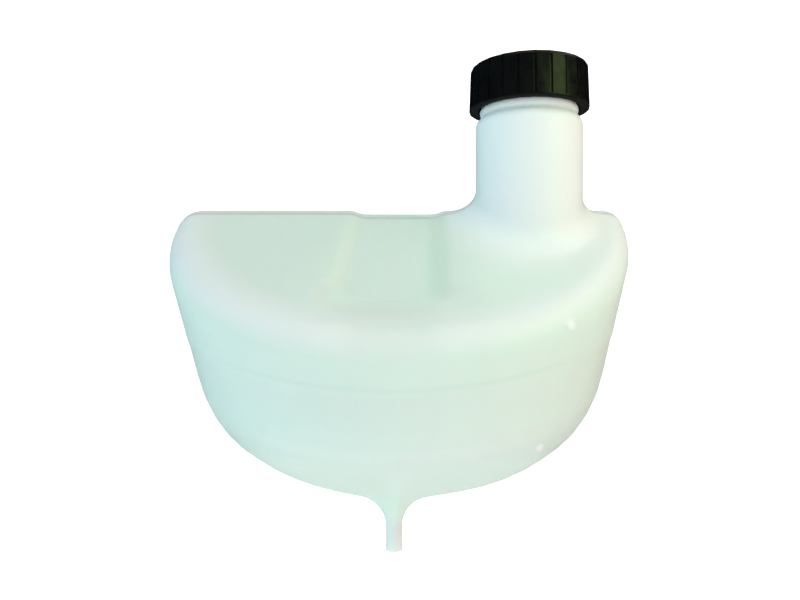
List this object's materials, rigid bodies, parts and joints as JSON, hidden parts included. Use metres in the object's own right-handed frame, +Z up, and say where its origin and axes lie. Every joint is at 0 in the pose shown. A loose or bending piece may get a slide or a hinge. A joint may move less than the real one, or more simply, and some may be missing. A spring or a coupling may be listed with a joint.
{
  "type": "coolant expansion tank",
  "caption": "Milky blow-moulded coolant expansion tank with a bowl-shaped front, tall filler neck, black screw cap and a bottom hose spigot.",
  "frame": {"origin": "on the hose spigot's axis, at the lower end of its straight wall", "axes": "+Z up along the spigot and the filler neck, +X towards the filler neck, -Y to the bulging front"},
  "size_m": [0.231, 0.1244, 0.2486],
  "materials": {
    "milky_plastic": "milky translucent polyethylene with a soft satin skin",
    "black_plastic": "moulded black polypropylene with a satin sheen",
    "seal_rubber": "matt black rubber"
  },
  "bodies": {
    "tank": {"tank": "milky_plastic"},
    "seal": {"cap_seal": "seal_rubber"},
    "cap": {"cap": "black_plastic"}
  },
  "joints": [
    {"name": "cap_rise", "type": "slide", "parent": "tank", "child": "seal", "axis": [0, 0, 1], "range_m": [0, 0.018]},
    {"name": "cap_turn", "type": "hinge", "parent": "seal", "child": "cap", "pos_m": [0.0696, 0, 0.235], "axis": [0, 0, 1], "range_deg": [0, 1080]}
  ],
  "couplings": [
    {"joint": "cap_rise", "follows": "cap_turn", "m_per_rad": 0.00095492}
  ]
}
